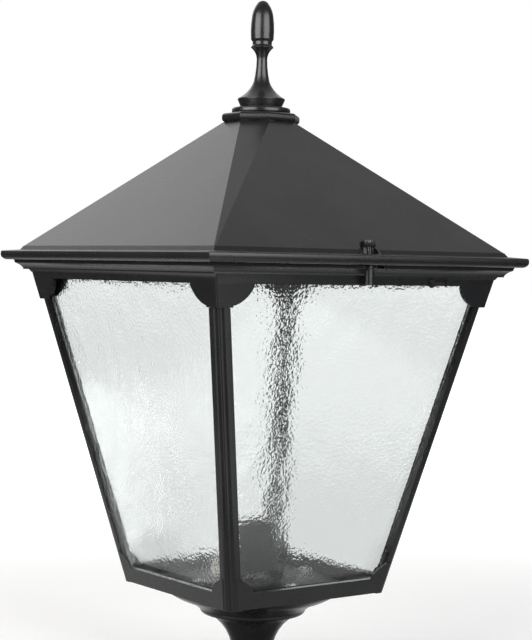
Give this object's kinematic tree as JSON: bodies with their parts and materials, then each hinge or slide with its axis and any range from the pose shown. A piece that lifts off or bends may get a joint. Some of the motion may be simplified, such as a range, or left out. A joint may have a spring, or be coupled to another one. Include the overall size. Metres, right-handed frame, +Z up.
{
  "type": "street lantern head",
  "caption": "Square tapering victorian street lantern head for a post top: dark coated metal, hinged pyramid roof with acorn finial, rippled glass panes, round stepped base.",
  "frame": {"origin": "centre of the mouth of the base neck's socket, where the post's pipe enters", "axes": "+Z up the lantern's axis towards the finial, -Y towards the lock screw, +Y towards the roof's hinges, +X to the right seen from the lock screw's side"},
  "size_m": [0.4, 0.4142, 0.7173],
  "materials": {
    "coat": "satin",
    "coat_small": "satin",
    "tray_coat": "matte",
    "pane": "gloss",
    "steel": "satin",
    "brass": "satin",
    "holder": "matte",
    "holder_core": "gloss",
    "rubber": "matte"
  },
  "bodies": {
    "frame": {"top_frame": "coat", "roof_seal": "rubber", "post_screws": "steel", "catch_plate": "coat_small", "catch_screw": "coat_small", "cage": "coat", "hinge_pin_right": "steel", "hinge_pin_left": "steel", "hinge_clips": "steel", "pane_front": "pane", "pane_back": "pane", "pane_left": "pane", "pane_right": "pane", "pane_clips": "steel", "pane_clip_screws": "steel", "tray": "tray_coat", "base_neck": "coat", "set_screws": "steel", "base_bolts": "steel", "base_bolt_washers": "steel", "lamp_holder_bracket": "tray_coat", "lamp_holder_shell": "holder", "lamp_contact_block": "holder_core", "lamp_screw_shell": "brass", "lamp_centre_contact": "brass", "holder_screws": "steel", "earth_screw": "brass", "terminal_block": "holder_core", "terminal_screws": "steel", "cable_grommet": "rubber"},
    "roof_lid": {"roof": "coat", "finial": "coat", "finial_stud": "steel", "finial_washer": "steel", "finial_nut": "steel"},
    "lock_lift": {"lock_washer": "rubber"},
    "lock_turn": {"lock_screw": "coat_small"}
  },
  "joints": [
    {"name": "roof_hinge", "type": "hinge", "parent": "frame", "child": "roof_lid", "pos_m": [0, 0.208, 0.444], "axis": [-1, 0, 0], "range_deg": [0, 95]},
    {"name": "lock_screw_lift", "type": "slide", "parent": "roof_lid", "child": "lock_lift", "axis": [0, 0, 1], "range_m": [-0.0069, 0.0053]},
    {"name": "lock_screw_turn", "type": "hinge", "parent": "lock_lift", "child": "lock_turn", "pos_m": [0, -0.182, 0.45], "axis": [0, 0, 1], "range_deg": [-2485, 1909]}
  ],
  "couplings": [
    {"joint": "lock_screw_turn", "follows": "lock_screw_lift", "rad_per_m": 6283.2}
  ]
}
